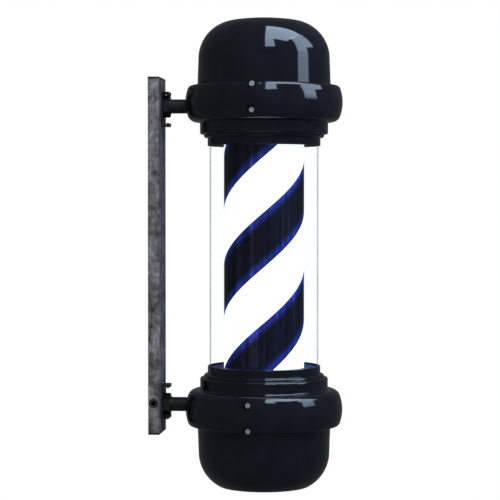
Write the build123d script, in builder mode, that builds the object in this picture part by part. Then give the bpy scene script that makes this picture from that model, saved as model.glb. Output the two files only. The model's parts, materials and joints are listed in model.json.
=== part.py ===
from build123d import *
import math
import os

# Wall-mounted barber pole light, in millimetres.
# +Z is up, the wall is the plane Y = 0 and the pole stands in front of it, towards -Y.
# The origin is the middle of the two wall-screw holes, on the back face of the wall bar.
# The two ends of the pole are the same mouldings, one turned upside down:
# `end` is +1 for the upper end and -1 for the lower one.

ENDS = (1, -1)
SIDES = (1, -1)

# Clear tube
tube_radius = 80.0
tube_wall = 3.0
tube_show = 323.4
tube_seat_depth = 9.0
tube_seat_clearance = 0.3
gasket_thickness = 2.0

# Collar: neck, bead, step, barrel-shaped band and deck
shell_wall = 3.0
rim_wall = 2.7
rim_round = 1.0
neck_height = 12.0
bead_height = 5.0
bead_width = 5.5
bead_round = 2.8
step_height = 18.0
step_width = 5.7
step_round = 2.6
band_height = 53.0
band_overhang = 21.4
band_barrel_radius = 60.0
band_shoulder_round = 13.0
band_corner_round = 6.0
band_belly_height = 29.0
deck_drop = 2.0
deck_gap = 2.0

# Dome
ledge_width = 17.6
dome_wall_height = 40.0
dome_draft = 1.5
dome_shoulder_radius = 56.0
dome_crown_rise = 3.0
dome_foot_height = 4.0
crown_cuts = {1: 0.0, -1: 9.2}
crown_cut_round = 5.0
skirt_depth = 14.0
skirt_clearance = 0.25

# Wall bar, its end caps and its holes
bar_width = 66.0
bar_depth = 17.0
bar_wall = 1.5
bar_corner = 1.8
bar_overhang = 42.2
cap_thickness = 3.0
cap_round = 1.0
cap_plug_depth = 10.0
cap_plug_wall = 2.0
cap_plug_clearance = 0.2
wall_hole_spacing = 240.0
wall_hole_radius = 3.25
wall_access_radius = 5.0

# Arms: pipe, clip and nuts
arm_gap = 35.4
arm_rise = 23.8
arm_radius = 10.5
arm_thread_radius = 9.5
arm_bore = 7.0
arm_hole_clearance = 0.25
arm_end_in_bar = 8.5
arm_end_in_collar = 23.0
arm_shoulder_inset = 5.0
clip_height = 51.0
clip_shift = 4.4
clip_width = 30.0
clip_depth = 11.0
clip_sheet = 3.0
clip_lip = 5.0
clip_bend = 1.2
jam_nut_flats = 28.6
jam_nut_thickness = 9.0
square_nut_size = 28.0
square_nut_thickness = 5.0
square_nut_corner = 1.0
lock_nut_flats = 27.0
lock_nut_thickness = 6.0
pad_inset = 11.0
pad_width = 38.0
pad_height = 34.0
pad_corner = 4.0

# Cable grommet in the side of the bar
grommet_level = -216.0
grommet_flange_radius = 7.0
grommet_flange = 2.0
grommet_round = 0.9
grommet_neck_radius = 5.5
grommet_inner_flange = 1.6
grommet_inner_flange_radius = 6.0
cable_hole_radius = 3.5

# Screws through the collar and the dome
screw_shank = 2.0
screw_head_radius = 4.0
screw_head_height = 2.4
screw_clearance = 0.25
hole_overrun = 1.0
screw_turns = {1: 4.0, -1: 7.0}
collar_screw_rise = 12.7
collar_screw_grip = 2.0
collar_screw_inset = 8.5
collar_recess_radius = 6.8
dome_screw_drop = 3.5
dome_screw_inset = 9.0
dome_recess_radius = 6.0
dome_screw_length = 22.0
boss_wall = 2.5
boss_inset = 1.0
skirt_boss_radius = 5.0
skirt_boss_length = 9.0

# Chassis plates
plate_thickness = 2.0
plate_edge_gap = 1.0
tab_width = 24.0
tab_height = 17.0

# Drum
drum_gap = 18.0
film_thickness = 0.4
drum_wall = 1.5
drum_overlap = 13.0
drum_plate = 3.0
drum_rim = 10.0
drum_rim_wall = 3.0
spoke_count = 4
spoke_width = 12.0

# Light post and its mount
post_flats = 22.0
post_wall = 2.0
post_cap_lip = 1.0
post_cap_thickness = 3.0
post_cap_plug = 8.0
post_end_gap = 13.0
strip_width = 10.0
strip_thickness = 1.6
strip_margin = 5.0
led_spacing = 15.0
led_size = 2.8
led_height = 0.5
neck_tube_radius = 20.0
neck_tube_end = 3.0
post_flange_radius = 32.0
post_flange = 3.0
post_screw_circle = 26.0
post_screw_count = 3
wire_hole_radius = 7.0

# Running bush at the top of the drum
bush_wall = 4.0
bush_running_clearance = 0.08
bush_length = 12.0
bush_flange = 2.0
bush_flange_width = 3.0
bush_boss_wall = 4.0

# Gear motor and drive hub
shaft_radius = 3.5
shaft_running_clearance = 0.05
shaft_top_gap = 1.0
shaft_in_motor = 10.0
motor_offset = 10.0
motor_radius = 25.0
motor_depth = 22.0
motor_cover_thickness = 2.0
motor_can_wall = 1.0
motor_nose_radius = 8.5
motor_nose_height = 4.0
motor_nose_gap = 0.5
motor_bush_radius = 5.0
motor_bush_rise = 2.0
motor_ear_spacing = 60.0
motor_ear_radius = 5.0
hub_flange_radius = 20.0
hub_flange = 3.0
hub_radius = 8.0
hub_length = 17.0
hub_screw_circle = 14.0
hub_screw_count = 3
grub_radius = 2.0
grub_drop = 8.0
grub_socket_depth = 1.5

# Small machine screws inside
small_shank = 1.5
small_head_radius = 2.8
small_head_height = 1.8

# Heads of all the screws
head_taper = 14.0
cross_width = 0.3
cross_length = 1.1
cross_depth = 0.5

# Supply for the light and mains terminal block
driver_size = (80.0, 34.0, 22.0)
driver_offset = -42.0
driver_foot = 8.0
driver_foot_thickness = 2.0
driver_corner = 2.0
driver_round = 1.0
terminal_size = (36.0, 16.0, 15.0)
terminal_offset = 54.0
terminal_ways = 3
terminal_hole = 2.2
terminal_corner = 1.0

# Rocker switches in a pocket under the lower dome
pocket_size = (52.0, 30.0)
pocket_depth = 6.0
pocket_corner = 3.0
switch_spacing = 26.0
switch_body = (13.0, 19.0, 13.0)
switch_bezel = (15.0, 21.0, 2.0)
switch_corner = 1.5
switch_cut_clearance = 0.1
rocker_size = (9.0, 14.0)
rocker_gap = 0.3
rocker_end_gap = 1.0
rocker_well = 6.5
rocker_pivot_depth = 4.0
rocker_proud = 2.6
rocker_dip = 1.5
rocker_tilt = 8.0
rocker_pin_radius = 1.0
rocker_pin_clearance = 0.05
rocker_pin_length = 1.0
rocker_pin_end_gap = 0.1
rocker_back = 1.0
rocker_back_taper = 1.0

# Heights from the middle of the pole to the outer end, one stack
rim_z = tube_show / 2
bead_z = rim_z + neck_height
step_z = bead_z + bead_height
band_z = step_z + step_height
seam_z = band_z + band_height
shoulder_z = seam_z + dome_wall_height
crown_z = shoulder_z + dome_shoulder_radius + dome_crown_rise
belly_z = band_z + band_belly_height
arm_z = band_z + arm_rise
plate_z = band_z + shell_wall
plate_top_z = plate_z + plate_thickness
collar_screw_z = band_z + collar_screw_rise
dome_screw_z = seam_z - dome_screw_drop

# Radii from the pole's axis outwards
tube_bore = tube_radius - tube_wall
drum_radius = tube_bore - drum_gap
drum_shell_radius = drum_radius - film_thickness
drum_bore = drum_shell_radius - drum_wall
seat_outer = tube_radius + tube_seat_clearance
seat_inner = tube_bore - tube_seat_clearance
neck_radius = seat_outer + rim_wall
bead_radius = neck_radius + bead_width
step_radius = bead_radius + step_width
band_radius = step_radius + band_overhang
dome_radius = band_radius - ledge_width
skirt_radius = dome_radius - shell_wall
ledge_bore = skirt_radius + skirt_clearance

# Depths from the wall
axis_y = -(bar_depth + arm_gap + band_radius)
arm_shoulder_y = axis_y + band_radius - arm_shoulder_inset
pad_y = axis_y + band_radius - pad_inset
arm_inner_end_y = axis_y + band_radius - arm_end_in_collar

pole_axis = Axis((0, axis_y, 0), (0, 0, 1))

os.makedirs("parts", exist_ok=True)


def end_section(end):
    """Upright plane through the pole's axis: x is the radius, y the height towards that end."""
    return Plane(origin=(0, axis_y, 0), x_dir=(1, 0, 0), z_dir=(0, -end, 0))


def level(end, height):
    """Flat plane across the pole's axis, facing its own end of the pole, with y towards the wall."""
    return Plane(origin=(0, axis_y, end * height), x_dir=(end, 0, 0), z_dir=(0, 0, end))


def side_plane(side, distance, height):
    """Upright plane square to X, facing outwards on one side of the pole, with y up."""
    return Plane(origin=(side * distance, axis_y, height), x_dir=(0, side, 0), z_dir=(side, 0, 0))


def screw_plane(end, side, distance, height):
    """Upright plane square to the screws on one side of an end, with y up."""
    turn = math.radians(screw_turns[end])
    across = side * math.cos(turn)
    along = -side * math.sin(turn)
    return Plane(origin=(distance * across, axis_y + distance * along, end * height),
                 x_dir=(-along, across, 0), z_dir=(across, along, 0))


def arm_plane(end, y):
    """Upright plane square to an arm, facing the wall."""
    return Plane(origin=(0, y, end * arm_z), x_dir=(1, 0, 0), z_dir=(0, 1, 0))


def out_axis(end):
    """The upright direction towards one end of the pole."""
    return Axis((0, 0, 0), (0, 0, end))


def outer_face_z(end):
    """Height of an end's outermost face: the lower dome is cut flat there for the switches."""
    return crown_z - crown_cuts[end]


def finish(piece, name):
    """Names a finished piece and writes it."""
    piece.part.label = name
    export_step(piece.part, f"parts/{name}.step")


def disc(plane, outer, thickness, inner=0.0, mode=Mode.ADD):
    """A disc or a ring that stands on a plane."""
    with BuildSketch(plane) as outline:
        Circle(outer)
        if inner > 0:
            Circle(inner, mode=Mode.SUBTRACT)
    extrude(outline.sketch, amount=thickness, mode=mode)


def block(plane, width, height, thickness, corner=0.0, mode=Mode.ADD):
    """A block that stands on a plane."""
    with BuildSketch(plane) as outline:
        if corner > 0:
            RectangleRounded(width, height, corner)
        else:
            Rectangle(width, height)
    extrude(outline.sketch, amount=thickness, mode=mode)


def pan_screw(seat, shank, length, head_radius, head_height):
    """A cross-recessed pan-head screw, with the underside of its head on a plane."""
    slot_width = cross_width * head_radius
    slot_length = cross_length * head_radius
    with BuildSketch(seat) as head:
        Circle(head_radius)
    extrude(head.sketch, amount=head_height, taper=head_taper)
    disc(seat, shank, -length)
    with BuildSketch(seat.offset(head_height)) as cross:
        Rectangle(slot_width, slot_length)
        Rectangle(slot_length, slot_width)
    extrude(cross.sketch, amount=-cross_depth * head_height, mode=Mode.SUBTRACT)


def hex_nut(plane, flats, thickness, bore):
    """A hexagon nut with its bore, standing on a plane, with a corner on y."""
    with BuildSketch(plane) as outline:
        RegularPolygon(flats / 2, 6, major_radius=False, rotation=30)
        Circle(bore, mode=Mode.SUBTRACT)
    extrude(outline.sketch, amount=thickness)


# Collar


def barrel_centre():
    """Centre of the barrel arc of the band: its belly is the widest place of the pole."""
    return Vector(band_radius - band_barrel_radius, belly_z)


def blend_centre(height, radius):
    """Centre of a round at that height that runs smoothly into the barrel arc from inside."""
    barrel = barrel_centre()
    reach = band_barrel_radius - radius
    rise = height - barrel.Y
    return Vector(barrel.X + math.sqrt(reach**2 - rise**2), height)


def band_curve(inset):
    """The band's outer line, moved inwards by a wall: shoulder round, barrel and seam corner."""
    barrel = barrel_centre()
    lower = blend_centre(band_z + band_shoulder_round, band_shoulder_round)
    upper = blend_centre(seam_z - band_corner_round, band_corner_round)
    low_angle = math.degrees(math.atan2(lower.Y - barrel.Y, lower.X - barrel.X))
    high_angle = math.degrees(math.atan2(upper.Y - barrel.Y, upper.X - barrel.X))
    shoulder = CenterArc(lower, band_shoulder_round - inset, -90, low_angle + 90)
    belly = CenterArc(barrel, band_barrel_radius - inset, low_angle, high_angle - low_angle)
    corner = CenterArc(upper, band_corner_round - inset, high_angle, 90 - high_angle)
    return shoulder @ 0, belly, corner @ 1


def collar_envelope(end):
    """The collar's outside as a full solid."""
    with BuildPart() as envelope:
        with BuildSketch(end_section(end)):
            with BuildLine():
                band_start, _, band_end = band_curve(0)
                FilletPolyline(
                    (0, rim_z),
                    (neck_radius, rim_z),
                    (neck_radius, bead_z),
                    (bead_radius, bead_z),
                    (bead_radius, step_z),
                    (step_radius, step_z),
                    (step_radius, band_z),
                    band_start,
                    radius=[rim_round, rim_round, bead_round, rim_round, step_round, step_round],
                )
                Polyline(band_end, (0, seam_z), (0, rim_z))
            make_face()
        revolve(axis=pole_axis)
    return envelope.part


def collar_cavity(end):
    """The room inside the collar's shell, above its deck."""
    deck_z = rim_z + deck_drop + shell_wall
    with BuildPart() as cavity:
        with BuildSketch(end_section(end)):
            with BuildLine():
                band_start, _, band_end = band_curve(shell_wall)
                Polyline(
                    (0, deck_z),
                    (seat_inner - shell_wall, deck_z),
                    (seat_inner - shell_wall, rim_z + tube_seat_depth + 2 * shell_wall),
                    (neck_radius, rim_z + tube_seat_depth + 2 * shell_wall),
                    (neck_radius, step_z + shell_wall),
                    (step_radius - shell_wall, step_z + shell_wall),
                    (step_radius - shell_wall, plate_z),
                    band_start,
                )
                Polyline(band_end, (ledge_bore, seam_z - shell_wall))
                Polyline(
                    (ledge_bore, seam_z - shell_wall),
                    (ledge_bore, seam_z),
                    (0, seam_z),
                    (0, deck_z),
                )
            make_face()
        revolve(axis=pole_axis)
    return cavity.part


def make_collar(end, name):
    """Moulded collar: band, step, bead and neck outside, deck and tube groove inside."""
    envelope = collar_envelope(end)
    cavity = collar_cavity(end)
    seat_z = rim_z + tube_seat_depth + gasket_thickness
    tab_face = plate_radius()
    dome_boss_start = ledge_bore + boss_inset
    with BuildPart() as collar:
        add(envelope)
        add(cavity, mode=Mode.SUBTRACT)
        # Bosses behind the four screws, and the flat pad behind the arm
        for side in SIDES:
            disc(screw_plane(end, side, tab_face, collar_screw_z), collar_recess_radius + boss_wall,
                 band_radius - tab_face)
            disc(screw_plane(end, side, dome_boss_start, dome_screw_z), dome_recess_radius + boss_wall,
                 band_radius - dome_boss_start)
        block(arm_plane(end, pad_y), pad_width, pad_height, band_radius, corner=pad_corner)
        add(envelope, mode=Mode.INTERSECT)
        # Open throat for the drum, groove for the clear tube, recess of the deck below the rim
        disc(level(end, rim_z), drum_radius + deck_gap, deck_drop + shell_wall, mode=Mode.SUBTRACT)
        disc(level(end, rim_z), seat_inner, deck_drop, mode=Mode.SUBTRACT)
        disc(level(end, rim_z), seat_outer, seat_z - rim_z, inner=seat_inner, mode=Mode.SUBTRACT)
        for side in SIDES:
            cut_screw_hole(end, side, collar_screw_z, collar_screw_inset, collar_recess_radius, tab_face)
            cut_screw_hole(end, side, dome_screw_z, dome_screw_inset, dome_recess_radius, ledge_bore)
        # Stepped hole for the arm
        disc(arm_plane(end, pad_y - hole_overrun), arm_thread_radius + arm_hole_clearance, band_radius,
             mode=Mode.SUBTRACT)
        disc(arm_plane(end, arm_shoulder_y), arm_radius + arm_hole_clearance, band_radius, mode=Mode.SUBTRACT)
    finish(collar, name)


def cut_screw_hole(end, side, height, inset, recess, start):
    """Clearance hole through a boss, with a round recess for the screw head."""
    disc(screw_plane(end, side, start - hole_overrun, height), screw_shank + screw_clearance, band_radius,
         mode=Mode.SUBTRACT)
    disc(screw_plane(end, side, band_radius - inset, height), recess, band_radius, mode=Mode.SUBTRACT)


# Dome


def dome_solid(end, inset, cut_round):
    """The dome's outside, or its inside when moved inwards by a wall, as a full solid."""
    corner_radius = dome_shoulder_radius - inset
    corner = Vector(dome_radius - dome_draft - dome_shoulder_radius, shoulder_z)
    drop = dome_shoulder_radius + dome_crown_rise
    crown_radius = (corner.X**2 + drop**2 - dome_shoulder_radius**2) / (2 * dome_crown_rise)
    crown = Vector(0, crown_z - crown_radius)
    join_angle = math.degrees(math.atan2(corner.Y - crown.Y, corner.X - crown.X))
    with BuildPart() as solid:
        with BuildSketch(end_section(end)):
            with BuildLine():
                shoulder = CenterArc(corner, corner_radius, 0, join_angle)
                top = CenterArc(crown, crown_radius - inset, join_angle, 90 - join_angle)
                Polyline(top @ 1, (0, seam_z), (dome_radius - inset, seam_z), shoulder @ 0)
            make_face()
        revolve(axis=pole_axis)
        if crown_cuts[end] > 0:
            cut_face = level(end, outer_face_z(end) - inset)
            disc(cut_face, dome_radius, crown_cuts[end] + inset, mode=Mode.SUBTRACT)
            fillet(solid.faces().sort_by(out_axis(end))[-1].edges(), cut_round)
    return solid.part


def make_dome(end, name, with_switches):
    """Moulded end dome with a foot that sits on the band and a skirt that plugs into it."""
    outside = dome_solid(end, 0, crown_cut_round)
    inside = dome_solid(end, shell_wall, crown_cut_round - shell_wall)
    skirt_bore = skirt_radius - shell_wall
    boss_start = skirt_radius - skirt_boss_length
    with BuildPart() as dome:
        add(outside)
        add(inside, mode=Mode.SUBTRACT)
        disc(level(end, seam_z), dome_radius - shell_wall / 2, dome_foot_height, inner=skirt_bore)
        disc(level(end, seam_z - skirt_depth), skirt_radius, skirt_depth + dome_foot_height, inner=skirt_bore)
        for side in SIDES:
            disc(screw_plane(end, side, boss_start, dome_screw_z), skirt_boss_radius,
                 skirt_boss_length - shell_wall / 2)
            disc(screw_plane(end, side, boss_start - hole_overrun, dome_screw_z), screw_shank,
                 skirt_boss_length + shell_wall, mode=Mode.SUBTRACT)
        if with_switches:
            add_switch_pocket(end)
    finish(dome, name)


def add_switch_pocket(end):
    """A shallow pocket in the flat crown with two rectangular holes for the rocker switches."""
    floor_z = outer_face_z(end) - pocket_depth
    outer_width = pocket_size[0] + 2 * shell_wall
    outer_height = pocket_size[1] + 2 * shell_wall
    block(level(end, floor_z - shell_wall), outer_width, outer_height, pocket_depth + shell_wall / 2,
          corner=pocket_corner + shell_wall)
    block(level(end, floor_z), *pocket_size, pocket_depth + hole_overrun, corner=pocket_corner,
          mode=Mode.SUBTRACT)
    for centre in switch_planes(end, floor_z - shell_wall):
        block(centre, switch_body[0] + 2 * switch_cut_clearance, switch_body[1] + 2 * switch_cut_clearance,
              shell_wall, mode=Mode.SUBTRACT)


def switch_planes(end, height):
    """The places of the two switches, side by side across the pole."""
    base = level(end, height)
    return [base.shift_origin(base.from_local_coords((side * switch_spacing / 2, 0, 0))) for side in SIDES]


def plate_radius():
    """Edge of a chassis plate: it rests on the collar's shoulder, clear of the band's inner round."""
    shoulder = blend_centre(band_z + band_shoulder_round, band_shoulder_round)
    return shoulder.X - plate_edge_gap


def make_chassis_plate(end, name):
    """Steel disc on the collar's shoulder, with two bent tabs that take the collar screws."""
    edge = plate_radius()
    with BuildPart() as plate:
        disc(level(end, plate_z), edge, plate_thickness)
        for side in SIDES:
            tab_middle = plate_z + tab_height / 2
            block(screw_plane(end, side, edge, tab_middle), tab_width, tab_height, -plate_thickness)
            disc(screw_plane(end, side, edge - 2 * plate_thickness, collar_screw_z), screw_shank,
                 3 * plate_thickness, mode=Mode.SUBTRACT)
        if end > 0:
            cut_post_holes(end)
        else:
            cut_motor_holes(end)
    finish(plate, name)


def cut_post_holes(end):
    """Wire hole, the light post's screws, and the supply's screws."""
    disc(level(end, plate_z), wire_hole_radius, plate_thickness, mode=Mode.SUBTRACT)
    with BuildSketch(level(end, plate_z)) as holes:
        with PolarLocations(post_screw_circle, post_screw_count, start_angle=90):
            Circle(small_shank)
        with Locations(*driver_screw_places()):
            Circle(small_shank)
    extrude(holes.sketch, amount=plate_thickness, mode=Mode.SUBTRACT)


def cut_motor_holes(end):
    """Hole for the motor's nose, the motor's screws, and the terminal block's screw."""
    disc(level(end, plate_z), motor_nose_radius + motor_nose_gap, plate_thickness, mode=Mode.SUBTRACT)
    with BuildSketch(level(end, plate_z)) as holes:
        with Locations(*motor_screw_places(), terminal_screw_place()):
            Circle(small_shank)
    extrude(holes.sketch, amount=plate_thickness, mode=Mode.SUBTRACT)


def driver_screw_places():
    reach = driver_size[0] / 2 + driver_foot / 2
    return [(side * reach, driver_offset) for side in SIDES]


def motor_screw_places():
    return [(side * motor_ear_spacing / 2, -motor_offset) for side in SIDES]


def terminal_screw_place():
    return (0, terminal_offset)


def make_screws(name, seats, shank, length, head_radius, head_height):
    """A group of equal screws, each with its head on one of the planes."""
    with BuildPart() as screws:
        for seat in seats:
            pan_screw(seat, shank, length, head_radius, head_height)
    finish(screws, name)


def small_screws(name, seats, length):
    make_screws(name, seats, small_shank, length, small_head_radius, small_head_height)


def shift(plane, x, y):
    """The same plane with its origin moved within it."""
    return Plane(origin=plane.from_local_coords((x, y, 0)), x_dir=plane.x_dir, z_dir=plane.z_dir)


def on_circle(plane, radius, count):
    """Planes spaced round a circle, the first one on y."""
    angles = [math.radians(90 + 360 * index / count) for index in range(count)]
    return [shift(plane, radius * math.cos(angle), radius * math.sin(angle)) for angle in angles]


# Collars, domes, chassis plates, gaskets and tube

for end, word in zip(ENDS, ("upper", "lower")):
    make_collar(end, f"{word}_collar")
    make_dome(end, f"{word}_dome", with_switches=end < 0)
    make_chassis_plate(end, f"{word}_chassis_plate")
    with BuildPart() as gasket:
        disc(level(end, rim_z + tube_seat_depth), tube_radius, gasket_thickness, inner=tube_bore)
    finish(gasket, f"{word}_tube_gasket")

with BuildPart() as clear_tube:
    tube_half = rim_z + tube_seat_depth
    disc(level(1, -tube_half), tube_radius, 2 * tube_half, inner=tube_bore)
finish(clear_tube, "clear_tube")

collar_seats = [
    screw_plane(end, side, band_radius - collar_screw_inset, collar_screw_z)
    for end in ENDS
    for side in SIDES
]
collar_screw_length = band_radius - collar_screw_inset - plate_radius() + plate_thickness + collar_screw_grip
make_screws("collar_screws", collar_seats, screw_shank, collar_screw_length, screw_head_radius,
            screw_head_height)

dome_seats = [
    screw_plane(end, side, band_radius - dome_screw_inset, dome_screw_z)
    for end in ENDS
    for side in SIDES
]
make_screws("dome_screws", dome_seats, screw_shank, dome_screw_length, screw_head_radius, screw_head_height)


# Wall bar

bar_half = arm_z + bar_overhang - cap_thickness


def bar_level(end, height):
    """Flat plane across the wall bar, facing one of its ends."""
    return Plane(origin=(0, -bar_depth / 2, end * height), x_dir=(1, 0, 0), z_dir=(0, 0, end))


with BuildPart() as back_bar:
    block(bar_level(1, -bar_half), bar_width, bar_depth, 2 * bar_half, corner=bar_corner)
    block(bar_level(1, -bar_half), bar_width - 2 * bar_wall, bar_depth - 2 * bar_wall, 2 * bar_half,
          mode=Mode.SUBTRACT)
    # Arm holes in the front wall
    for end in ENDS:
        disc(arm_plane(end, -bar_depth), arm_radius + arm_hole_clearance, bar_wall, mode=Mode.SUBTRACT)
    # Wall-screw holes at the back, with access holes for the screw heads in front
    for end in ENDS:
        screw_line = Plane(origin=(0, 0, end * wall_hole_spacing / 2), x_dir=(1, 0, 0), z_dir=(0, -1, 0))
        disc(screw_line, wall_hole_radius, bar_wall, mode=Mode.SUBTRACT)
        disc(screw_line.offset(bar_depth - bar_wall), wall_access_radius, bar_wall, mode=Mode.SUBTRACT)
    # Cable grommet hole in one side
    cable_side = Plane(origin=(-bar_width / 2, -bar_depth / 2, grommet_level), x_dir=(0, -1, 0),
                       z_dir=(-1, 0, 0))
    disc(cable_side, grommet_neck_radius, -bar_wall, mode=Mode.SUBTRACT)
finish(back_bar, "back_bar")

with BuildPart() as cable_grommet:
    disc(cable_side, grommet_flange_radius, grommet_flange, inner=cable_hole_radius)
    outer_edges = cable_grommet.edges().filter_by(GeomType.CIRCLE).group_by(Axis.X)[0]
    fillet(outer_edges.sort_by(SortBy.RADIUS)[-1], grommet_round)
    disc(cable_side, grommet_neck_radius, -bar_wall, inner=cable_hole_radius)
    disc(cable_side.offset(-bar_wall), grommet_inner_flange_radius, -grommet_inner_flange,
         inner=cable_hole_radius)
finish(cable_grommet, "cable_grommet")

for end, word in zip(ENDS, ("top", "bottom")):
    with BuildPart() as bar_cap:
        block(bar_level(end, bar_half), bar_width, bar_depth, cap_thickness, corner=bar_corner)
        fillet(bar_cap.faces().sort_by(out_axis(end))[-1].edges(), cap_round)
        plug_width = bar_width - 2 * bar_wall - 2 * cap_plug_clearance
        plug_depth = bar_depth - 2 * bar_wall - 2 * cap_plug_clearance
        block(bar_level(end, bar_half), plug_width, plug_depth, -cap_plug_depth)
        block(bar_level(end, bar_half), plug_width - 2 * cap_plug_wall, plug_depth - 2 * cap_plug_wall,
              -cap_plug_depth, mode=Mode.SUBTRACT)
    finish(bar_cap, f"bar_{word}_cap")


# Arms, clips and nuts

clip_face_y = -bar_depth - clip_sheet
jam_nut_y = clip_face_y - jam_nut_thickness
arm_bar_end_y = -arm_end_in_bar


def clip_profile():
    """The folded strip of a clip: web on the bar, two flanges and two short lips, seen along X."""
    half = clip_height / 2
    lip_y = -bar_depth - clip_depth
    return [
        (-bar_depth, half),
        (lip_y, half),
        (lip_y, half - clip_lip),
        (lip_y + clip_sheet, half - clip_lip),
        (lip_y + clip_sheet, half - clip_sheet),
        (clip_face_y, half - clip_sheet),
        (clip_face_y, -half + clip_sheet),
        (lip_y + clip_sheet, -half + clip_sheet),
        (lip_y + clip_sheet, -half + clip_lip),
        (lip_y, -half + clip_lip),
        (lip_y, -half),
        (-bar_depth, -half),
    ]


for end, word in zip(ENDS, ("upper", "lower")):
    clip_z = end * (arm_z - clip_shift)
    clip_side = Plane(origin=(-clip_width / 2, 0, clip_z), x_dir=(0, 1, 0), z_dir=(1, 0, 0))
    with BuildPart() as arm_clip:
        with BuildSketch(clip_side) as clip_sketch:
            with BuildLine():
                Polyline(*clip_profile(), close=True)
            make_face()
            fillet(clip_sketch.vertices().group_by(Axis.Y)[0], clip_bend)
        extrude(amount=clip_width)
        disc(arm_plane(end, clip_face_y), arm_radius + arm_hole_clearance, clip_sheet, mode=Mode.SUBTRACT)
    finish(arm_clip, f"{word}_arm_clip")

    with BuildPart() as arm_pipe:
        disc(arm_plane(end, arm_shoulder_y), arm_radius, arm_bar_end_y - arm_shoulder_y)
        disc(arm_plane(end, arm_inner_end_y), arm_thread_radius, arm_shoulder_y - arm_inner_end_y)
        disc(arm_plane(end, arm_inner_end_y), arm_bore, arm_bar_end_y - arm_inner_end_y, mode=Mode.SUBTRACT)
    finish(arm_pipe, f"{word}_arm_pipe")

with BuildPart() as jam_nuts:
    for end in ENDS:
        hex_nut(arm_plane(end, jam_nut_y), jam_nut_flats, jam_nut_thickness, arm_radius)
finish(jam_nuts, "arm_jam_nuts")

with BuildPart() as bar_nuts:
    for end in ENDS:
        front = arm_plane(end, -bar_depth + bar_wall)
        block(front, square_nut_size, square_nut_size, square_nut_thickness, corner=square_nut_corner)
        disc(front, arm_radius, square_nut_thickness, mode=Mode.SUBTRACT)
finish(bar_nuts, "bar_square_nuts")

with BuildPart() as lock_nuts:
    for end in ENDS:
        hex_nut(arm_plane(end, pad_y - lock_nut_thickness), lock_nut_flats, lock_nut_thickness,
                arm_thread_radius)
finish(lock_nuts, "collar_lock_nuts")


# Light post, LED strips, mount and supply

post_bottom_z = -rim_z + post_end_gap
neck_bottom_z = rim_z - neck_tube_end
strip_top_z = neck_bottom_z - strip_margin
strip_bottom_z = post_bottom_z + strip_margin
post_face = post_flats / 2

with BuildPart() as light_post:
    with BuildSketch(level(1, post_bottom_z)):
        RegularPolygon(post_face, 6, major_radius=False)
        RegularPolygon(post_face - post_wall, 6, major_radius=False, mode=Mode.SUBTRACT)
    extrude(amount=plate_z - post_bottom_z)
finish(light_post, "light_post")

post_sides = [math.radians(30 + 60 * index) for index in range(6)]
strip_height = strip_top_z - strip_bottom_z
led_count = int((strip_height - strip_margin) // led_spacing)


def post_side_plane(angle, distance, height):
    """Upright plane on one face of the hexagonal post, facing outwards."""
    return Plane(origin=(distance * math.cos(angle), axis_y + distance * math.sin(angle), height),
                 x_dir=(-math.sin(angle), math.cos(angle), 0),
                 z_dir=(math.cos(angle), math.sin(angle), 0))


with BuildPart() as led_strips:
    for angle in post_sides:
        middle = (strip_top_z + strip_bottom_z) / 2
        block(post_side_plane(angle, post_face, middle), strip_width, strip_height, strip_thickness)
        with BuildSketch(post_side_plane(angle, post_face + strip_thickness, middle)):
            with GridLocations(0, led_spacing, 1, led_count):
                Rectangle(led_size, led_size)
        extrude(amount=led_height)
finish(led_strips, "led_strips")

with BuildPart() as post_end_cap:
    with BuildSketch(level(-1, -post_bottom_z)):
        RegularPolygon(post_face + post_cap_lip, 6, major_radius=False)
    extrude(amount=post_cap_thickness)
    with BuildSketch(level(-1, -post_bottom_z)):
        RegularPolygon(post_face - post_wall, 6, major_radius=False)
    extrude(amount=-post_cap_plug)
finish(post_end_cap, "post_end_cap")

with BuildPart() as post_mount:
    disc(level(1, neck_bottom_z), neck_tube_radius, plate_z - neck_bottom_z)
    disc(level(1, plate_z - post_flange), post_flange_radius, post_flange)
    with BuildSketch(level(1, neck_bottom_z)):
        RegularPolygon(post_face, 6, major_radius=False)
    extrude(amount=plate_z - neck_bottom_z, mode=Mode.SUBTRACT)
    with BuildSketch(level(1, plate_z - post_flange)):
        with PolarLocations(post_screw_circle, post_screw_count, start_angle=90):
            Circle(small_shank)
    extrude(amount=post_flange, mode=Mode.SUBTRACT)
finish(post_mount, "post_mount")

small_screws("post_mount_screws", on_circle(level(1, plate_top_z), post_screw_circle, post_screw_count),
             plate_thickness + post_flange)

driver_base = shift(level(1, plate_top_z), 0, driver_offset)
with BuildPart() as led_driver:
    block(driver_base, driver_size[0], driver_size[1], driver_size[2], corner=driver_corner)
    fillet(led_driver.faces().sort_by(Axis.Z)[-1].edges(), driver_round)
    block(driver_base, driver_size[0] + 2 * driver_foot, driver_size[1] / 2, driver_foot_thickness)
    for side in SIDES:
        foot = shift(driver_base, side * (driver_size[0] + driver_foot) / 2, 0)
        disc(foot, small_shank + screw_clearance, driver_foot_thickness, mode=Mode.SUBTRACT)
finish(led_driver, "led_driver")

driver_seats = [shift(level(1, plate_top_z + driver_foot_thickness), x, y) for x, y in driver_screw_places()]
small_screws("led_driver_screws", driver_seats, driver_foot_thickness + plate_thickness)


# Drum: printed film on a white tube, between a base plate and a top ring

drum_end_z = rim_z + drum_overlap

with BuildPart() as stripe_film:
    disc(level(1, -drum_end_z), drum_radius, 2 * drum_end_z, inner=drum_shell_radius)
finish(stripe_film, "stripe_film")

with BuildPart() as drum_tube:
    disc(level(1, -drum_end_z), drum_shell_radius, 2 * drum_end_z, inner=drum_bore)
finish(drum_tube, "drum_tube")

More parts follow.
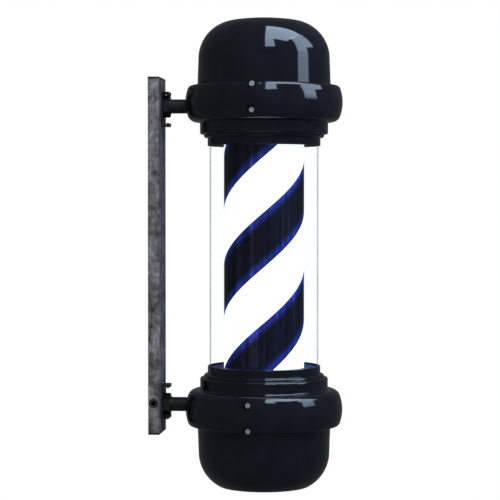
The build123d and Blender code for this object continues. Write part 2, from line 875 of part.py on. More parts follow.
with BuildPart() as drum_base:
    disc(level(-1, drum_end_z), drum_bore, -drum_plate)
    disc(level(-1, drum_end_z), drum_bore, -drum_rim, inner=drum_bore - drum_rim_wall)
    disc(level(-1, drum_end_z), shaft_radius + screw_clearance, -drum_plate, mode=Mode.SUBTRACT)
    with BuildSketch(level(-1, drum_end_z)):
        with PolarLocations(hub_screw_circle, hub_screw_count, start_angle=90):
            Circle(small_shank)
    extrude(amount=-drum_plate, mode=Mode.SUBTRACT)
finish(drum_base, "drum_base")

bush_bore = neck_tube_radius + bush_running_clearance
bush_radius = bush_bore + bush_wall
bush_bottom_z = drum_end_z - bush_length

with BuildPart() as drum_top_ring:
    disc(level(1, drum_end_z), drum_bore, -drum_rim, inner=drum_bore - drum_rim_wall)
    disc(level(1, drum_end_z), bush_radius + bush_boss_wall, -bush_length, inner=bush_radius)
    with BuildSketch(level(1, drum_end_z)):
        with PolarLocations(0, spoke_count, start_angle=45):
            Rectangle(2 * drum_bore - drum_rim_wall, spoke_width)
        Circle(bush_radius + bush_boss_wall / 2, mode=Mode.SUBTRACT)
    extrude(amount=-drum_plate)
finish(drum_top_ring, "drum_top_ring")

with BuildPart() as top_bush:
    disc(level(1, bush_bottom_z), bush_radius, bush_length, inner=bush_bore)
    disc(level(1, drum_end_z), bush_radius + bush_flange_width, bush_flange, inner=bush_bore)
finish(top_bush, "top_bush")


# Drive: gear motor under the lower chassis plate, its shaft and the hub under the drum

hub_bottom_z = -drum_end_z - hub_length
shaft_top_z = -drum_end_z - shaft_top_gap
grub_z = hub_bottom_z + grub_drop
motor_top_z = -plate_top_z
shaft_bottom_z = motor_top_z - shaft_in_motor
nose_top_z = motor_top_z + motor_nose_height

with BuildPart() as drive_hub:
    disc(level(-1, drum_end_z), hub_flange_radius, hub_flange)
    disc(level(-1, drum_end_z), hub_radius, hub_length)
    disc(level(-1, drum_end_z), shaft_radius, hub_length, mode=Mode.SUBTRACT)
    with BuildSketch(level(-1, drum_end_z)):
        with PolarLocations(hub_screw_circle, hub_screw_count, start_angle=90):
            Circle(small_shank)
    extrude(amount=hub_flange, mode=Mode.SUBTRACT)
    disc(side_plane(1, 0, grub_z), grub_radius, hub_radius + hole_overrun, mode=Mode.SUBTRACT)
finish(drive_hub, "drive_hub")

small_screws("hub_screws", on_circle(level(-1, drum_end_z + hub_flange), hub_screw_circle, hub_screw_count),
             hub_flange + drum_plate)

with BuildPart() as hub_grub_screw:
    disc(side_plane(1, shaft_radius, grub_z), grub_radius, hub_radius - shaft_radius)
    with BuildSketch(side_plane(1, hub_radius, grub_z)):
        RegularPolygon(grub_radius / 2, 6)
    extrude(amount=-grub_socket_depth, mode=Mode.SUBTRACT)
finish(hub_grub_screw, "hub_grub_screw")

with BuildPart() as motor_shaft:
    disc(level(1, shaft_bottom_z), shaft_radius, shaft_top_z - shaft_bottom_z)
finish(motor_shaft, "motor_shaft")

motor_centre = shift(level(-1, -motor_top_z), 0, -motor_offset)

with BuildPart() as motor_cover:
    disc(motor_centre, motor_radius, motor_cover_thickness)
    with BuildSketch(motor_centre):
        SlotCenterToCenter(motor_ear_spacing, 2 * motor_ear_radius)
    extrude(amount=motor_cover_thickness)
    disc(level(1, motor_top_z), motor_nose_radius, motor_nose_height)
    disc(level(1, nose_top_z), motor_bush_radius, -motor_nose_height - motor_cover_thickness,
         mode=Mode.SUBTRACT)
    for x, y in motor_screw_places():
        ear = shift(level(-1, -motor_top_z), x, y)
        disc(ear, small_shank + screw_clearance, motor_cover_thickness, mode=Mode.SUBTRACT)
finish(motor_cover, "motor_cover")

with BuildPart() as motor_can:
    can_top = motor_centre.offset(motor_cover_thickness)
    disc(can_top, motor_radius, motor_depth)
    disc(can_top, motor_radius - motor_can_wall, motor_depth - motor_can_wall, mode=Mode.SUBTRACT)
finish(motor_can, "motor_can")

with BuildPart() as motor_bush:
    bush_height = motor_nose_height + motor_cover_thickness + motor_bush_rise
    disc(level(1, motor_top_z - motor_cover_thickness), motor_bush_radius, bush_height,
         inner=shaft_radius + shaft_running_clearance)
finish(motor_bush, "motor_bush")

motor_seats = [shift(level(-1, -motor_top_z + motor_cover_thickness), x, y) for x, y in motor_screw_places()]
small_screws("motor_screws", motor_seats, motor_cover_thickness + plate_thickness)

terminal_base = shift(level(-1, plate_top_z), 0, terminal_offset)
with BuildPart() as terminal_block:
    block(terminal_base, terminal_size[0], terminal_size[1], terminal_size[2], corner=terminal_corner)
    pitch = terminal_size[0] / (terminal_ways + 1)
    way_face = Plane(origin=terminal_base.from_local_coords((0, terminal_size[1] / 2, terminal_size[2] / 3)),
                     x_dir=(1, 0, 0), z_dir=(0, 1, 0))
    for index in range(terminal_ways):
        across = (index - (terminal_ways - 1) / 2) * pitch
        disc(shift(way_face, across, 0), terminal_hole, -terminal_size[1], mode=Mode.SUBTRACT)
    disc(terminal_base, small_shank, terminal_size[2], mode=Mode.SUBTRACT)
finish(terminal_block, "terminal_block")

small_screws("terminal_screw", [terminal_base.offset(terminal_size[2])], terminal_size[2] + plate_thickness)


# Rocker switches under the lower dome

pocket_floor_z = outer_face_z(-1) - pocket_depth
rocker_pivot_z = pocket_floor_z + switch_bezel[2] - rocker_pivot_depth


def rocker_profile():
    """A rocker seen along its pivot: two pads that meet in a shallow valley, over a flat back."""
    half = rocker_size[1] / 2
    return [
        (-half, rocker_pivot_depth + rocker_proud),
        (0, rocker_pivot_depth + rocker_proud - rocker_dip),
        (half, rocker_pivot_depth + rocker_proud),
        (half - rocker_back_taper, -rocker_back),
        (-half + rocker_back_taper, -rocker_back),
    ]


for centre, word in zip(switch_planes(-1, pocket_floor_z), ("light", "motor")):
    pivot = centre.offset(rocker_pivot_z - pocket_floor_z)
    pivot_side = Plane(origin=pivot.origin, x_dir=(0, 1, 0), z_dir=(-1, 0, 0))
    well = (rocker_size[0] + 2 * rocker_gap, rocker_size[1] + 2 * rocker_end_gap)
    pin_reach = rocker_size[0] / 2 + rocker_gap + rocker_pin_length
    with BuildPart() as switch_housing:
        block(centre, switch_bezel[0], switch_bezel[1], switch_bezel[2], corner=switch_corner)
        block(centre, switch_body[0], switch_body[1], -switch_body[2])
        block(centre.offset(switch_bezel[2]), *well, -rocker_well, mode=Mode.SUBTRACT)
        disc(pivot_side.offset(-pin_reach), rocker_pin_radius + rocker_pin_clearance, 2 * pin_reach,
             mode=Mode.SUBTRACT)
    finish(switch_housing, f"{word}_switch_housing")
    with BuildPart() as switch_rocker:
        with BuildSketch(pivot_side.offset(-rocker_size[0] / 2)):
            with BuildLine():
                Polyline(*rocker_profile(), close=True)
            make_face()
        extrude(amount=rocker_size[0])
        pin_half = pin_reach - rocker_pin_end_gap
        disc(pivot_side.offset(-pin_half), rocker_pin_radius, 2 * pin_half)
    rocker_turn = Axis(pivot.origin, (1, 0, 0))
    switch_rocker.part = switch_rocker.part.rotate(rocker_turn, rocker_tilt)
    finish(switch_rocker, f"{word}_switch_rocker")
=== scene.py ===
import json
import math

import bmesh
import bpy
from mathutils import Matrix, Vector


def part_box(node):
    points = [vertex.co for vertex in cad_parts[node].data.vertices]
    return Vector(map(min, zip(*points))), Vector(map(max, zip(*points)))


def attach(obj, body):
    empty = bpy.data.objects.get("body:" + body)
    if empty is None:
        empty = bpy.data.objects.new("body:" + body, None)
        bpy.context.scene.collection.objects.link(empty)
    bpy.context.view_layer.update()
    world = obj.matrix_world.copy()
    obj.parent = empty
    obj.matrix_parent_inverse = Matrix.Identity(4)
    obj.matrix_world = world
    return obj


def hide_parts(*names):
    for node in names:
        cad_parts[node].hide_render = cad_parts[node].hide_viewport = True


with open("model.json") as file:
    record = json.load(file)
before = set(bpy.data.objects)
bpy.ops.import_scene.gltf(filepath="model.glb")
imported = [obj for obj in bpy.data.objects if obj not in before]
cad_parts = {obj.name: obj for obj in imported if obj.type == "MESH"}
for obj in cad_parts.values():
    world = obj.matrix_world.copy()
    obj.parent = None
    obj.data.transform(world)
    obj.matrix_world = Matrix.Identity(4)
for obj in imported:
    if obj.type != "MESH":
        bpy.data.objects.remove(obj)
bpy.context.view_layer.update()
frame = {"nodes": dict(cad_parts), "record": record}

# All lengths are in metres, in the frame of the CAD: +Z up, the wall at Y = 0, the pole towards -Y.
MM = 0.001

tube_low, tube_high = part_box("clear_tube")
film_low, film_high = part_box("stripe_film")

POLE_Y = (tube_low.y + tube_high.y) / 2
FILM_RADIUS = (film_high.x - film_low.x) / 2
FILM_HALF = film_high.z
TUBE_WALL = 3 * MM
TUBE_SEAT_GAP = 0.3 * MM
TUBE_RADIUS = (tube_high.x - tube_low.x) / 2
TUBE_BORE = TUBE_RADIUS - TUBE_WALL

# The eye: its distance from the pole's axis, its turn from -X towards the front, and its height over the
# middle of the pole. The look's turn and its slope down are in radians too.
EYE_DISTANCE = 2.581
EYE_TURN = 0.092
EYE_HEIGHT = 0.0757
LOOK_TURN = 0.100
LOOK_DOWN = 0.026
LENS_MM = 126.1
SENSOR_MM = 36.0
VIEW_END = 60.0


def around(turn, distance, height):
    """A point seen from the pole's axis: turn is counted from the eye to its right, in radians."""
    angle = math.pi + EYE_TURN + turn
    return Vector((distance * math.cos(angle), POLE_Y + distance * math.sin(angle), height))


# Camera

def add_camera():
    """The eye's camera, as the current one of the scene."""
    data = bpy.data.cameras.new("camera")
    data.lens = LENS_MM
    data.sensor_width = SENSOR_MM
    data.clip_end = VIEW_END
    camera = bpy.data.objects.new("camera", data)
    camera.location = around(0, EYE_DISTANCE, EYE_HEIGHT)
    look = Vector((math.cos(LOOK_TURN) * math.cos(LOOK_DOWN),
                   math.sin(LOOK_TURN) * math.cos(LOOK_DOWN),
                   -math.sin(LOOK_DOWN)))
    camera.rotation_euler = look.to_track_quat("-Z", "Y").to_euler()
    bpy.context.scene.collection.objects.link(camera)
    bpy.context.scene.camera = camera


# Node helpers

def new_material(name):
    """An empty node material, with its nodes and links at hand."""
    made = bpy.data.materials.new(name)
    made.use_nodes = True
    made.node_tree.nodes.clear()
    return made, made.node_tree.nodes, made.node_tree.links


def ramp(nodes, stops):
    """A colour ramp through (place, colour) stops."""
    made = nodes.new("ShaderNodeValToRGB")
    elements = made.color_ramp.elements
    while len(elements) < len(stops):
        elements.new(0.5)
    for element, (place, colour) in zip(elements, stops):
        element.position = place
        element.color = (*colour, 1)
    return made


def grey(level):
    return (level, level, level)


def principled(nodes, links, **values):
    """A Principled shader on the material's output, with the named sockets set."""
    shader = nodes.new("ShaderNodeBsdfPrincipled")
    out = nodes.new("ShaderNodeOutputMaterial")
    links.new(shader.outputs["BSDF"], out.inputs["Surface"])
    for key, value in values.items():
        shader.inputs[key].default_value = value
    return shader


def object_noise(nodes, links, scale, detail=3.0, stretch=(1, 1, 1), rough=0.5):
    """Noise in the piece's own coordinates, in cycles per metre."""
    place = nodes.new("ShaderNodeTexCoord")
    mapping = nodes.new("ShaderNodeMapping")
    mapping.inputs["Scale"].default_value = stretch
    noise = nodes.new("ShaderNodeTexNoise")
    noise.inputs["Scale"].default_value = scale
    noise.inputs["Detail"].default_value = detail
    noise.inputs["Roughness"].default_value = rough
    links.new(place.outputs["Object"], mapping.inputs["Vector"])
    links.new(mapping.outputs["Vector"], noise.inputs["Vector"])
    return noise


def bump_from(nodes, links, source, distance, chain=None):
    """A bump of the given depth in metres, on top of the bump in chain if there is one."""
    bump = nodes.new("ShaderNodeBump")
    bump.inputs["Distance"].default_value = distance
    bump.inputs["Strength"].default_value = 1.0
    links.new(source, bump.inputs["Height"])
    if chain is not None:
        links.new(chain, bump.inputs["Normal"])
    return bump.outputs["Normal"]


def multiplied(nodes, links, first, second):
    """The product of two colours."""
    mix = nodes.new("ShaderNodeMix")
    mix.data_type = "RGBA"
    mix.blend_type = "MULTIPLY"
    mix.inputs["Factor"].default_value = 1.0
    links.new(first, mix.inputs["A"])
    links.new(second, mix.inputs["B"])
    return mix.outputs["Result"]


def spread(nodes, links, source, low, high):
    """Maps a 0 to 1 value on a range."""
    ranged = nodes.new("ShaderNodeMapRange")
    ranged.inputs["To Min"].default_value = low
    ranged.inputs["To Max"].default_value = high
    links.new(source, ranged.inputs["Value"])
    return ranged.outputs["Result"]


# Materials

COAT_IOR = 1.5


def coated(name, colours, roughness, metallic=0.0, grain=0.0, grain_scale=900, wave=0.0, wave_scale=14,
           patch_scale=30, stretch=(1, 1, 1)):
    """A moulded, painted or metal surface: colour patches, uneven roughness, fine grain and slow waves."""
    made, nodes, links = new_material(name)
    shader = principled(nodes, links, Metallic=metallic, IOR=COAT_IOR)
    patches = object_noise(nodes, links, patch_scale, 5.0, stretch)
    tint = ramp(nodes, [(0.35, colours[0]), (0.65, colours[1])])
    links.new(patches.outputs["Fac"], tint.inputs["Fac"])
    links.new(tint.outputs["Color"], shader.inputs["Base Color"])
    fine = object_noise(nodes, links, grain_scale, 2.0, stretch)
    links.new(spread(nodes, links, fine.outputs["Fac"], *roughness), shader.inputs["Roughness"])
    normal = None
    if grain > 0:
        normal = bump_from(nodes, links, fine.outputs["Fac"], grain)
    if wave > 0:
        slow = object_noise(nodes, links, wave_scale, 1.0)
        normal = bump_from(nodes, links, slow.outputs["Fac"], wave, chain=normal)
    if normal is not None:
        links.new(normal, shader.inputs["Normal"])
    return made


ACRYLIC_IOR = 1.49
# Half-way through the tube's wall, in widths of the tube
MASK_RADIUS = (TUBE_RADIUS + TUBE_BORE) / 2 / (2 * TUBE_RADIUS)


def outer_wall_mask(nodes, links):
    """1 on the outer wall of a tube about its box's vertical middle line, and 0 in its bore."""
    place = nodes.new("ShaderNodeTexCoord")
    from_axis = nodes.new("ShaderNodeMapping")
    from_axis.inputs["Location"].default_value = (-0.5, -0.5, 0)
    from_axis.inputs["Scale"].default_value = (1, 1, 0)
    radius = nodes.new("ShaderNodeVectorMath")
    radius.operation = "LENGTH"
    outside = nodes.new("ShaderNodeMath")
    outside.operation = "GREATER_THAN"
    outside.inputs[1].default_value = MASK_RADIUS
    links.new(place.outputs["Generated"], from_axis.inputs["Vector"])
    links.new(from_axis.outputs["Vector"], radius.inputs[0])
    links.new(radius.outputs["Value"], outside.inputs[0])
    return outside.outputs["Value"]


def clear_plastic(name):
    """Thin clear plastic: nearly invisible face on, and glossier at the outline of its outer wall, where a
    painted grey line stands in for the refraction and reflection at the tube's edge.
    """
    made, nodes, links = new_material(name)
    shader = nodes.new("ShaderNodeBsdfPrincipled")
    shader.inputs["Base Color"].default_value = (0.30, 0.34, 0.38, 1)
    shader.inputs["IOR"].default_value = ACRYLIC_IOR
    smears = object_noise(nodes, links, 25, 4.0, (1, 1, 0.2))
    links.new(spread(nodes, links, smears.outputs["Fac"], 0.02, 0.07), shader.inputs["Roughness"])
    through = nodes.new("ShaderNodeBsdfTransparent")
    through.inputs["Color"].default_value = (0.997, 0.999, 1.0, 1)
    # Painted shade: a grey line at the outline of the outer wall, in place of the refraction and reflection
    # at the edge.
    rim = nodes.new("ShaderNodeLayerWeight")
    rim.inputs["Blend"].default_value = 0.5
    painted_edge_grey = ramp(nodes, [(0.0, grey(0.004)), (0.74, grey(0.006)), (0.80, grey(0.30)), (1.0, grey(0.56))])
    links.new(rim.outputs["Facing"], painted_edge_grey.inputs["Fac"])
    shown = nodes.new("ShaderNodeMath")
    shown.operation = "MULTIPLY"
    links.new(outer_wall_mask(nodes, links), shown.inputs[0])
    links.new(painted_edge_grey.outputs["Color"], shown.inputs[1])
    blend = nodes.new("ShaderNodeMixShader")
    links.new(shown.outputs["Value"], blend.inputs["Fac"])
    links.new(through.outputs["BSDF"], blend.inputs[1])
    links.new(shader.outputs["BSDF"], blend.inputs[2])
    out = nodes.new("ShaderNodeOutputMaterial")
    links.new(blend.outputs["Shader"], out.inputs["Surface"])
    return made


GLOW_DIP = 0.94


def glowing(name, colour, strength, patch_scale=12):
    """A translucent skin lit from behind, a little uneven over its face."""
    made, nodes, links = new_material(name)
    shader = principled(nodes, links, IOR=ACRYLIC_IOR, Roughness=0.35)
    shader.inputs["Base Color"].default_value = (0.8, 0.82, 0.85, 1)
    shader.inputs["Emission Strength"].default_value = strength
    uneven = object_noise(nodes, links, patch_scale, 2.0, (1, 1, 0.4))
    dim = tuple(channel * GLOW_DIP for channel in colour)
    tint = ramp(nodes, [(0.3, dim), (0.7, colour)])
    links.new(uneven.outputs["Fac"], tint.inputs["Fac"])
    links.new(tint.outputs["Color"], shader.inputs["Emission Color"])
    return made


BLACK_SHELL = coated("black_shell", ((0.0045, 0.0045, 0.0065), (0.007, 0.007, 0.0095)), (0.05, 0.10),
                     grain=0.000004, wave=0.00016, wave_scale=20)
BLACK_ENAMEL = coated("black_enamel", ((0.004, 0.004, 0.005), (0.009, 0.009, 0.011)), (0.25, 0.42),
                      grain=0.00002, grain_scale=1500)
CAP_PLASTIC = coated("cap_plastic", ((0.008, 0.008, 0.009), (0.014, 0.014, 0.015)), (0.40, 0.55),
                     grain=0.00002)
RUBBER = coated("rubber", ((0.012, 0.012, 0.013), (0.02, 0.02, 0.021)), (0.55, 0.75), grain=0.00003)
SCREW_STEEL = coated("screw_steel", ((0.32, 0.33, 0.35), (0.46, 0.47, 0.49)), (0.22, 0.36), metallic=0.35,
                     grain=0.000004)
ZINC = coated("zinc", ((0.52, 0.53, 0.56), (0.66, 0.66, 0.66)), (0.28, 0.42), metallic=1.0, grain=0.000008,
              patch_scale=60)
ALUMINIUM = coated("aluminium", ((0.72, 0.73, 0.75), (0.82, 0.83, 0.84)), (0.22, 0.34), metallic=1.0,
                   grain=0.00001, stretch=(1, 1, 0.04))
MOTOR_STEEL = coated("motor_steel", ((0.50, 0.51, 0.53), (0.62, 0.62, 0.63)), (0.25, 0.38), metallic=1.0,
                     grain=0.000006)
BRASS = coated("brass", ((0.62, 0.45, 0.20), (0.74, 0.57, 0.28)), (0.22, 0.36), metallic=1.0, grain=0.000008)
NYLON = coated("nylon", ((0.74, 0.74, 0.70), (0.82, 0.82, 0.79)), (0.40, 0.55), grain=0.00002)
GREY_PLASTIC = coated("grey_plastic", ((0.13, 0.13, 0.14), (0.17, 0.17, 0.18)), (0.45, 0.6), grain=0.00003)
SWITCH_PLASTIC = coated("switch_plastic", ((0.006, 0.006, 0.007), (0.010, 0.010, 0.011)), (0.16, 0.26),
                        grain=0.00001)
DECK_NAVY = coated("deck_navy", ((0.006, 0.013, 0.085), (0.010, 0.020, 0.13)), (0.40, 0.55), grain=0.00001)
OPAL = coated("opal", ((0.78, 0.80, 0.82), (0.84, 0.86, 0.88)), (0.25, 0.4), grain=0.00001)
CLEAR = clear_plastic("clear_acrylic")
LED_BOARD = glowing("led_board", (0.9, 0.95, 1.0), 2.0, 400)


def bar_steel():
    """Steel, mottled from near black to grey and brown, finely brushed across, with darker cross marks."""
    made, nodes, links = new_material("bar_steel")
    shader = principled(nodes, links, Metallic=0.15, IOR=COAT_IOR)
    mottle = object_noise(nodes, links, 75, 7.0, (1, 1, 0.8), rough=0.72)
    tint = ramp(nodes, [(0.32, (0.022, 0.020, 0.020)), (0.45, (0.10, 0.088, 0.080)),
                        (0.55, (0.19, 0.175, 0.165)), (0.70, (0.34, 0.33, 0.325))])
    links.new(mottle.outputs["Fac"], tint.inputs["Fac"])
    marks = object_noise(nodes, links, 42, 2.0, (0.05, 0.05, 1), rough=0.4)
    band = ramp(nodes, [(0.30, grey(0.45)), (0.42, grey(1.0))])
    links.new(marks.outputs["Fac"], band.inputs["Fac"])
    marked = multiplied(nodes, links, tint.outputs["Color"], band.outputs["Color"])
    links.new(marked, shader.inputs["Base Color"])
    brush = object_noise(nodes, links, 700, 2.0, (0.06, 1, 1))
    links.new(spread(nodes, links, brush.outputs["Fac"], 0.28, 0.55), shader.inputs["Roughness"])
    normal = bump_from(nodes, links, brush.outputs["Fac"], 0.00002)
    normal = bump_from(nodes, links, mottle.outputs["Fac"], 0.0003, chain=normal)
    links.new(normal, shader.inputs["Normal"])
    return made


BAR_STEEL = bar_steel()

SLOT_MATERIALS = {
    "black_shell": BLACK_SHELL,
    "bar_steel": BAR_STEEL,
    "black_steel": BLACK_ENAMEL,
    "bar_cap_plastic": CAP_PLASTIC,
    "black_rubber": RUBBER,
    "clear_acrylic": CLEAR,
    "stripe_film": OPAL,
    "opal_acrylic": OPAL,
    "white_nylon": NYLON,
    "zinc_steel": ZINC,
    "screw_steel": SCREW_STEEL,
    "extruded_aluminium": ALUMINIUM,
    "led_board": LED_BOARD,
    "bearing_brass": BRASS,
    "motor_steel": MOTOR_STEEL,
    "grey_plastic": GREY_PLASTIC,
    "switch_plastic": SWITCH_PLASTIC,
}


def dress_nodes():
    """Gives every CAD node the material of its slot."""
    for entry in frame["record"]["subparts"]:
        made = SLOT_MATERIALS[entry["material_slot"]]
        piece = frame["nodes"][entry["node"]]
        if not piece.material_slots:
            piece.data.materials.append(made)
        for holder in piece.material_slots:
            holder.material = made


# Mesh helpers

MERGE = 0.0001 * MM


def mesh_piece(name, points, faces, made, smooth=True, uvs=None):
    """A new mesh object. The uvs are given for each point."""
    data = bpy.data.meshes.new(name)
    data.from_pydata(points, [], faces)
    data.validate()
    if uvs is not None:
        layer = data.uv_layers.new(name="UVMap")
        for loop in data.loops:
            layer.data[loop.index].uv = uvs[loop.vertex_index]
    data.materials.append(made)
    for polygon in data.polygons:
        polygon.use_smooth = smooth
    piece = bpy.data.objects.new(name, data)
    bpy.context.scene.collection.objects.link(piece)
    return piece


def tidy_mesh(piece):
    """Merges doubled points, drops slivers and loose points, and turns every face outwards."""
    work = bmesh.new()
    work.from_mesh(piece.data)
    bmesh.ops.remove_doubles(work, verts=work.verts, dist=MERGE)
    bmesh.ops.dissolve_degenerate(work, edges=work.edges, dist=MERGE)
    loose = [vertex for vertex in work.verts if not vertex.link_faces]
    bmesh.ops.delete(work, geom=loose, context="VERTS")
    bmesh.ops.recalc_face_normals(work, faces=work.faces)
    work.to_mesh(piece.data)
    work.free()


def lathe_points(profile, count):
    """Rings of points about the pole's axis, one for each (radius, height)."""
    points = []
    for radius, height in profile:
        for index in range(count):
            angle = 2 * math.pi * index / count
            points.append((radius * math.cos(angle), POLE_Y + radius * math.sin(angle), height))
    return points


def lathe_faces(rings, count):
    """Quads between each ring of points and the next."""
    faces = []
    for ring in range(rings - 1):
        for index in range(count):
            after = (index + 1) % count
            faces.append((ring * count + index, ring * count + after,
                          (ring + 1) * count + after, (ring + 1) * count + index))
    return faces


# Stripes: two white and two black bands in a right-handed helix, each a thin closed skin

STRIPE_LEAD = 0.320
STRIPE_STARTS = 2
# Height of a white stripe's middle where it faces the eye
STRIPE_WHITE_AT_EYE = 0.105
FILM_SKIN = 0.4 * MM
FILM_STEP = math.radians(2)
ACROSS_STEPS = 16
# A band lower than this counts as closed
BAND_CLOSED = 0.001 * MM


def stripe_band(name, middle, height, made):
    """One helical band, cut off level at the film's two ends. Its v runs from its lower edge to its upper."""
    start = math.pi + EYE_TURN
    reach = FILM_HALF + height
    first = math.floor((-reach - middle) / STRIPE_LEAD * 2 * math.pi / FILM_STEP)
    last = math.ceil((reach - middle) / STRIPE_LEAD * 2 * math.pi / FILM_STEP)
    points = []
    uvs = []
    columns = []
    for step in range(first, last + 1):
        turn = step * FILM_STEP
        centre = middle + STRIPE_LEAD * turn / (2 * math.pi)
        low = max(centre - height / 2, -FILM_HALF)
        high = min(centre + height / 2, FILM_HALF)
        if high - low < BAND_CLOSED:
            low = high = min(max(centre, -FILM_HALF), FILM_HALF)
        column = []
        for radius in (FILM_RADIUS, FILM_RADIUS - FILM_SKIN):
            row = []
            for index in range(ACROSS_STEPS + 1):
                z = low + (high - low) * index / ACROSS_STEPS
                row.append(len(points))
                points.append((radius * math.cos(start + turn), POLE_Y + radius * math.sin(start + turn), z))
                uvs.append((turn / (2 * math.pi), (z - centre) / height + 0.5))
            column.append(row)
        columns.append((column, high - low > BAND_CLOSED))
    faces = []
    for (here, open_here), (after, open_after) in zip(columns, columns[1:]):
        if not (open_here or open_after):
            continue
        for index in range(ACROSS_STEPS):
            faces.append((here[0][index], after[0][index], after[0][index + 1], here[0][index + 1]))
            faces.append((here[1][index], here[1][index + 1], after[1][index + 1], after[1][index]))
        faces.append((here[0][0], here[1][0], after[1][0], after[0][0]))
        faces.append((here[0][-1], after[0][-1], after[1][-1], here[1][-1]))
    piece = mesh_piece(name, points, faces, made, uvs=uvs)
    tidy_mesh(piece)
    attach(piece, "drum")
    return piece


def stripe_black():
    """Printed black ink. Its navy border along both edges is painted light, where the light bleeds through,
    and its lighter vertical streaks are painted light too.
    """
    made, nodes, links = new_material("stripe_black")
    shader = principled(nodes, links, IOR=1.25, Roughness=0.35)
    uv = nodes.new("ShaderNodeUVMap")
    split = nodes.new("ShaderNodeSeparateXYZ")
    links.new(uv.outputs["UV"], split.inputs["Vector"])
    navy = (0.011, 0.018, 0.135)
    dusk = (0.006, 0.010, 0.055)
    ink = (0.0035, 0.004, 0.0085)
    border = ramp(nodes, [(0.0, navy), (0.09, navy), (0.15, dusk), (0.22, ink), (0.80, ink), (0.86, dusk),
                          (0.92, navy), (1.0, navy)])
    links.new(split.outputs["Y"], border.inputs["Fac"])
    # Painted light: lighter vertical streaks over the ink, in both its colour and its glow.
    painted_light_streaks = object_noise(nodes, links, 150, 3.0, (1, 1, 0.03))
    shade = ramp(nodes, [(0.35, grey(0.55)), (0.55, grey(1.0)), (0.72, grey(2.4))])
    links.new(painted_light_streaks.outputs["Fac"], shade.inputs["Fac"])
    light_streaked_ink = multiplied(nodes, links, border.outputs["Color"], shade.outputs["Color"])
    links.new(light_streaked_ink, shader.inputs["Base Color"])
    links.new(light_streaked_ink, shader.inputs["Emission Color"])
    shader.inputs["Emission Strength"].default_value = 0.55
    return made


STRIPE_WHITE = glowing("stripe_white", (0.90, 0.985, 0.97), 0.93)
STRIPE_BLACK = stripe_black()


def add_stripes():
    """The four bands of the film, which turn with the drum and stand in for its plain CAD sleeve."""
    pitch = STRIPE_LEAD / STRIPE_STARTS
    height = pitch / 2
    for start in range(STRIPE_STARTS):
        middle = STRIPE_WHITE_AT_EYE + start * pitch
        while middle > pitch:
            middle -= STRIPE_LEAD
        stripe_band(f"white_stripe_{start + 1}", middle, height, STRIPE_WHITE)
        stripe_band(f"black_stripe_{start + 1}", middle + height, height, STRIPE_BLACK)
    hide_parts("stripe_film")


# Navy floor of each collar's mouth, round the drum

DECK_THROAT = 2 * MM
DECK_DROP = 2 * MM
DECK_THICKNESS = 0.4 * MM
DECK_GAP = 0.4 * MM
DECK_SIDES = 180


def add_deck(end, word):
    """A thin navy ring on the deck between the drum's throat and the clear tube's groove."""
    collar_low, collar_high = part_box(f"{word}_collar")
    rim = collar_low.z if end > 0 else -collar_high.z
    inner = FILM_RADIUS + DECK_THROAT + DECK_GAP
    outer = TUBE_BORE - TUBE_SEAT_GAP - DECK_GAP
    face = rim + DECK_DROP
    profile = [(inner, face), (outer, face), (outer, face - DECK_THICKNESS), (inner, face - DECK_THICKNESS)]
    profile = [(radius, end * height) for radius, height in profile]
    points = lathe_points(profile, DECK_SIDES)
    faces = lathe_faces(len(profile), DECK_SIDES)
    last = (len(profile) - 1) * DECK_SIDES
    for index in range(DECK_SIDES):
        after = (index + 1) % DECK_SIDES
        faces.append((last + index, last + after, after, index))
    piece = mesh_piece(f"{word}_deck", points, faces, DECK_NAVY, smooth=False)
    tidy_mesh(piece)
    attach(piece, "housing")


# Stage and lights

FLOOR_Z = -6.0
STAGE_RADIUS = 9.0
STAGE_TOP = 7.0
STAGE_MIDDLE = 0.01
STAGE_SIDES = 64
COVE = 2.0
COVE_STEPS = 10


def plain_glow(name, colour, strength):
    """A surface that only shines, with no shading."""
    made, nodes, links = new_material(name)
    out = nodes.new("ShaderNodeOutputMaterial")
    glow = nodes.new("ShaderNodeEmission")
    glow.inputs["Color"].default_value = (*colour, 1)
    glow.inputs["Strength"].default_value = strength
    links.new(glow.outputs["Emission"], out.inputs["Surface"])
    return made


def add_stage():
    """A pale floor inside a pale round backdrop. They show behind the object, but don't mirror in it."""
    pale = plain_glow("pale_backdrop", (1.0, 1.0, 1.0), 1.0)
    flat = STAGE_RADIUS - COVE
    turns = [math.pi / 2 * step / COVE_STEPS for step in range(COVE_STEPS + 1)]
    cove = [(flat + COVE * math.sin(turn), FLOOR_Z + COVE - COVE * math.cos(turn)) for turn in turns]
    top = [(STAGE_RADIUS, STAGE_TOP - COVE), (flat, STAGE_TOP), (STAGE_MIDDLE, STAGE_TOP)]
    profile = [(STAGE_MIDDLE, FLOOR_Z), *cove, *top]
    points = lathe_points(profile, STAGE_SIDES)
    backdrop = mesh_piece("backdrop", points, lathe_faces(len(profile), STAGE_SIDES), pale)
    backdrop.visible_glossy = False
    backdrop.visible_diffuse = False
    backdrop.visible_shadow = False


def add_panel(name, centre, facing, width, height, colour, radiance):
    """A soft rectangular light. Its width is level and its height runs towards +Z."""
    data = bpy.data.lights.new(name, "AREA")
    data.shape = "RECTANGLE"
    data.size = width
    data.size_y = height
    data.color = colour
    data.energy = radiance * math.pi * width * height
    lamp = bpy.data.objects.new(name, data)
    lamp.location = centre
    lamp.rotation_euler = (facing - centre).to_track_quat("-Z", "Y").to_euler()
    bpy.context.scene.collection.objects.link(lamp)
    return lamp


WINDOW = (0.60, 0.78, 1.0)
# Height from which the windows' heights are counted
DOME_Z = 0.30
WINDOW_DISTANCE = 2.2


def add_window(name, degrees, middle, width, height, radiance):
    """An upright window at the windows' distance, facing the pole at its own height."""
    facing = around(0, 0, DOME_Z + middle)
    centre = around(math.radians(degrees), WINDOW_DISTANCE, DOME_Z + middle)
    add_panel(name, centre, facing, width, height, WINDOW, radiance)


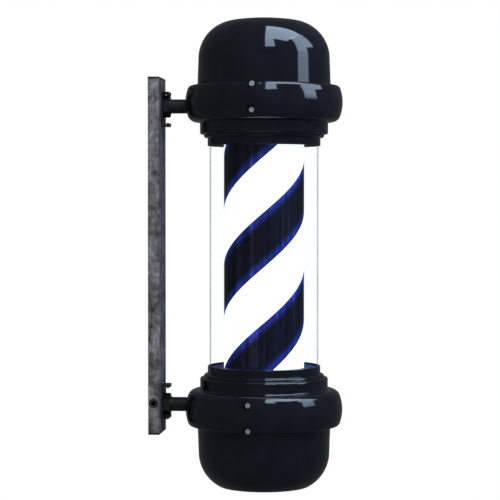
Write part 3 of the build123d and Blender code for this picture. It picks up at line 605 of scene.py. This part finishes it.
def add_lights():
    """The windows whose reflections show on the gloss."""
    # Tall window strip far to the right, dimmer towards the floor
    strip_degrees = 70.5
    strip_width = 0.81
    strip_low = 0.50
    strip_high = 2.42
    strip_middle = (strip_low + strip_high) / 2
    add_window("right_strip", strip_degrees, strip_middle, strip_width, strip_high - strip_low, radiance=6.0)
    foot_steps = 6
    foot_height = 0.075
    foot_brightest = 5.6
    foot_fall = 0.6
    for step in range(foot_steps):
        middle = strip_low - (step + 0.5) * foot_height
        add_window(f"strip_foot_{step + 1}", strip_degrees, middle, strip_width, foot_height,
                   foot_brightest - foot_fall * step)
    # Panel beyond the strip that widens the corner below the skylight
    add_window("corner_window", degrees=89, middle=1.6, width=0.66, height=1.6, radiance=5.6)
    # Skylight overhead, towards the eye and to its right
    roof = around(math.radians(50), 1.25, DOME_Z + 2.0)
    below = roof - Vector((0, 0, 1))
    skylight = add_panel("skylight", roof, below, width=1.9, height=1.75, colour=WINDOW, radiance=8.0)
    skylight.rotation_euler = (0, 0, math.pi + EYE_TURN)
    # Short window beside the eye
    add_window("short_window", degrees=11, middle=1.75, width=0.66, height=1.5, radiance=7.0)


FILL_DISTANCE = 2.6
WARM_WHITE = (1.0, 0.98, 0.96)
SKY_BLUE = (0.22, 0.28, 1.0)


def add_fill():
    """Broad weak lights that lift the matt surfaces and leave the gloss dark: white from behind the eye, blue
    from the right."""
    target = around(0, 0, 0)
    white = around(math.radians(-12), FILL_DISTANCE, 0.3)
    blue = around(math.radians(48), FILL_DISTANCE, -0.1)
    fill = add_panel("fill", white, target, width=2.4, height=2.4, colour=WARM_WHITE, radiance=2.2)
    sky_fill = add_panel("sky_fill", blue, target, width=1.2, height=2.4, colour=SKY_BLUE, radiance=3.0)
    fill.visible_glossy = False
    sky_fill.visible_glossy = False


def add_world():
    """Faint light from all around."""
    world = bpy.data.worlds.new("world")
    world.use_nodes = True
    shade = world.node_tree.nodes["Background"]
    shade.inputs["Color"].default_value = (0.80, 0.88, 1.0, 1)
    shade.inputs["Strength"].default_value = 0.10
    bpy.context.scene.world = world


bpy.context.scene.view_settings.view_transform = "Standard"
add_camera()
dress_nodes()
add_stripes()
add_deck(1, "upper")
add_deck(-1, "lower")
add_stage()
add_world()
add_lights()
add_fill()
